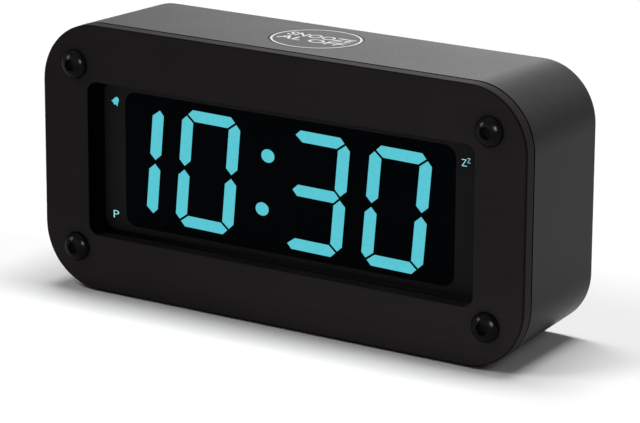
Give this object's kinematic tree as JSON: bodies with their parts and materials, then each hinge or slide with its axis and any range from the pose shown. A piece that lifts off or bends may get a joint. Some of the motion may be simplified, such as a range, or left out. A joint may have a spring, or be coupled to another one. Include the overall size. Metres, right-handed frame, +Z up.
{
  "type": "digital desk clock",
  "caption": "Desk clock with a thick dark bezel on corner screws, a recessed seven-segment display, a snooze key on top, and set keys, a slide switch and a battery bay at the back.",
  "frame": {"origin": "middle of the bounding box's bottom, on the surface under the rubber feet", "axes": "+X to the right seen from the front, +Y from the display to the back, +Z up"},
  "size_m": [0.1454, 0.04, 0.0716],
  "materials": {
    "bezel_metal": "black anodised, brushed along its length",
    "screw_black": "blackened steel, semi-gloss",
    "brass": "plain turned",
    "case_plastic": "satin black, fine moulded grain",
    "key_plastic": "satin black",
    "mask_plastic": "flat dark grey",
    "display_black": "smoked, smooth",
    "lit_segment": "lit cyan, even",
    "unlit_segment": "unlit, nearly black",
    "reflector_white": "moulded white",
    "circuit_board": "green solder mask",
    "component_black": "moulded black",
    "small_screw": "zinc plated",
    "contact_nickel": "nickel plated spring strip",
    "cell_wrap": "plain printed sleeve",
    "foot_rubber": "matt black",
    "gasket_foam": "dull black foam",
    "lead_black": "soft insulation",
    "lead_red": "soft insulation",
    "ribbon_grey": "flat grey ribbon"
  },
  "bodies": {
    "case": {"battery_1": "cell_wrap", "battery_2": "cell_wrap", "battery_3": "cell_wrap", "battery_4": "cell_wrap", "battery_bay": "case_plastic", "battery_lead_black": "lead_black", "battery_lead_red": "lead_red", "bezel_inserts": "brass", "bezel_screws": "screw_black", "buzzer": "component_black", "buzzer_leads": "lead_black", "capacitor": "component_black", "case_shell": "case_plastic", "clock_chip": "component_black", "colon_dots": "lit_segment", "crystal": "small_screw", "display_board": "circuit_board", "display_face": "display_black", "display_mask": "mask_plastic", "display_screws": "small_screw", "front_bezel": "bezel_metal", "hour_tens_digit": "lit_segment", "hour_units_digit": "lit_segment", "key_switches": "component_black", "led_chips": "reflector_white", "led_reflector": "reflector_white", "link_contact": "contact_nickel", "main_board": "circuit_board", "main_board_screws": "small_screw", "minute_tens_digit": "lit_segment", "minute_units_digit": "lit_segment", "negative_contact": "contact_nickel", "positive_contact": "contact_nickel", "rear_cover": "case_plastic", "rear_cover_screws": "small_screw", "ribbon": "ribbon_grey", "ribbon_sockets": "component_black", "rubber_feet": "foot_rubber", "slide_switch": "component_black", "snooze_board": "circuit_board", "snooze_leads": "lead_black", "snooze_screws": "small_screw", "snooze_switch": "component_black", "unlit_segments": "unlit_segment", "window_gasket": "gasket_foam"},
    "snooze_button": {"snooze_key": "key_plastic"},
    "time_button": {"time_key": "key_plastic"},
    "alarm_button": {"alarm_key": "key_plastic"},
    "hour_button": {"hour_key": "key_plastic"},
    "minute_button": {"minute_key": "key_plastic"},
    "slide_knob": {"alarm_slide": "key_plastic"},
    "door": {"battery_door": "case_plastic"}
  },
  "joints": [
    {"name": "snooze_press", "type": "slide", "parent": "case", "child": "snooze_button", "axis": [0, 0, -1], "range_m": [0, 0.0008], "stiffness_N_per_m": 1500},
    {"name": "time_press", "type": "slide", "parent": "case", "child": "time_button", "axis": [0, -1, 0], "range_m": [0, 0.0008], "stiffness_N_per_m": 1200},
    {"name": "alarm_press", "type": "slide", "parent": "case", "child": "alarm_button", "axis": [0, -1, 0], "range_m": [0, 0.0008], "stiffness_N_per_m": 1200},
    {"name": "hour_press", "type": "slide", "parent": "case", "child": "hour_button", "axis": [0, -1, 0], "range_m": [0, 0.0008], "stiffness_N_per_m": 1200},
    {"name": "minute_press", "type": "slide", "parent": "case", "child": "minute_button", "axis": [0, -1, 0], "range_m": [0, 0.0008], "stiffness_N_per_m": 1200},
    {"name": "alarm_slide_travel", "type": "slide", "parent": "case", "child": "slide_knob", "axis": [1, 0, 0], "range_m": [0, 0.004]},
    {"name": "door_hinge", "type": "hinge", "parent": "case", "child": "door", "pos_m": [0, 0.01787, 0.00775], "axis": [-1, 0, 0], "range_deg": [0, 90]}
  ]
}
